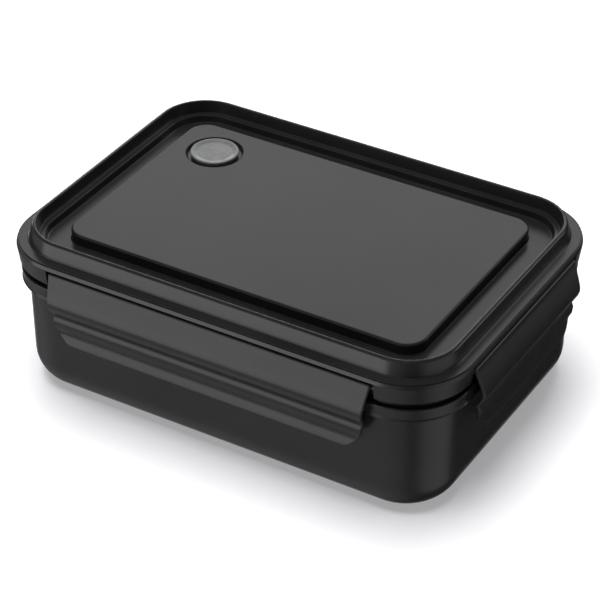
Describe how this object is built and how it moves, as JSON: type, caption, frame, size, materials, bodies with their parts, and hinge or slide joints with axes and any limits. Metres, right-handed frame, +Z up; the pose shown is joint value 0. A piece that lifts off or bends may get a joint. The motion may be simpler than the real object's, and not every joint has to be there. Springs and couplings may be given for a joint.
{
  "type": "lunch box",
  "caption": "Rectangular plastic lunch box with rounded corners, a sealed lift-off lid with a raised panel and vent plug, and long hinged flap latches on every side.",
  "frame": {"origin": "centre of the bounding box at the face that the tub stands on", "axes": "+X along the long sides, +Y from the front side to the back side, +Z up; the front side faces -Y"},
  "size_m": [0.2338, 0.1688, 0.0805],
  "materials": {
    "black_plastic": "satin moulded polypropylene",
    "latch_plastic": "satin moulded polypropylene",
    "seal_silicone": "matt silicone",
    "plug_silicone": "smooth grey silicone",
    "pin_steel": "drawn wire"
  },
  "bodies": {
    "tub": {"base_container": "black_plastic"},
    "lid": {"lid": "black_plastic", "lid_gasket": "seal_silicone", "hinge_pin_front": "pin_steel", "hinge_pin_back": "pin_steel", "hinge_pin_left": "pin_steel", "hinge_pin_right": "pin_steel"},
    "latch_front": {"latch_front": "latch_plastic"},
    "latch_back": {"latch_back": "latch_plastic"},
    "latch_left": {"latch_left": "latch_plastic"},
    "latch_right": {"latch_right": "latch_plastic"},
    "vent_plug": {"vent_plug": "plug_silicone"}
  },
  "joints": [
    {"name": "lid_lift", "type": "slide", "parent": "tub", "child": "lid", "axis": [0, 0, 1], "range_m": [0, 0.06]},
    {"name": "latch_front_hinge", "type": "hinge", "parent": "lid", "child": "latch_front", "pos_m": [0, -0.0777, 0.0679], "axis": [-1, 0, 0], "range_deg": [-6, 80]},
    {"name": "latch_back_hinge", "type": "hinge", "parent": "lid", "child": "latch_back", "pos_m": [0, 0.0777, 0.0679], "axis": [1, 0, 0], "range_deg": [-6, 80]},
    {"name": "latch_left_hinge", "type": "hinge", "parent": "lid", "child": "latch_left", "pos_m": [-0.1102, 0, 0.0679], "axis": [0, 1, 0], "range_deg": [-6, 80]},
    {"name": "latch_right_hinge", "type": "hinge", "parent": "lid", "child": "latch_right", "pos_m": [0.1102, 0, 0.0679], "axis": [0, -1, 0], "range_deg": [-6, 80]},
    {"name": "vent_plug_lift", "type": "slide", "parent": "lid", "child": "vent_plug", "axis": [0, 0, 1], "range_m": [0, 0.003]}
  ]
}
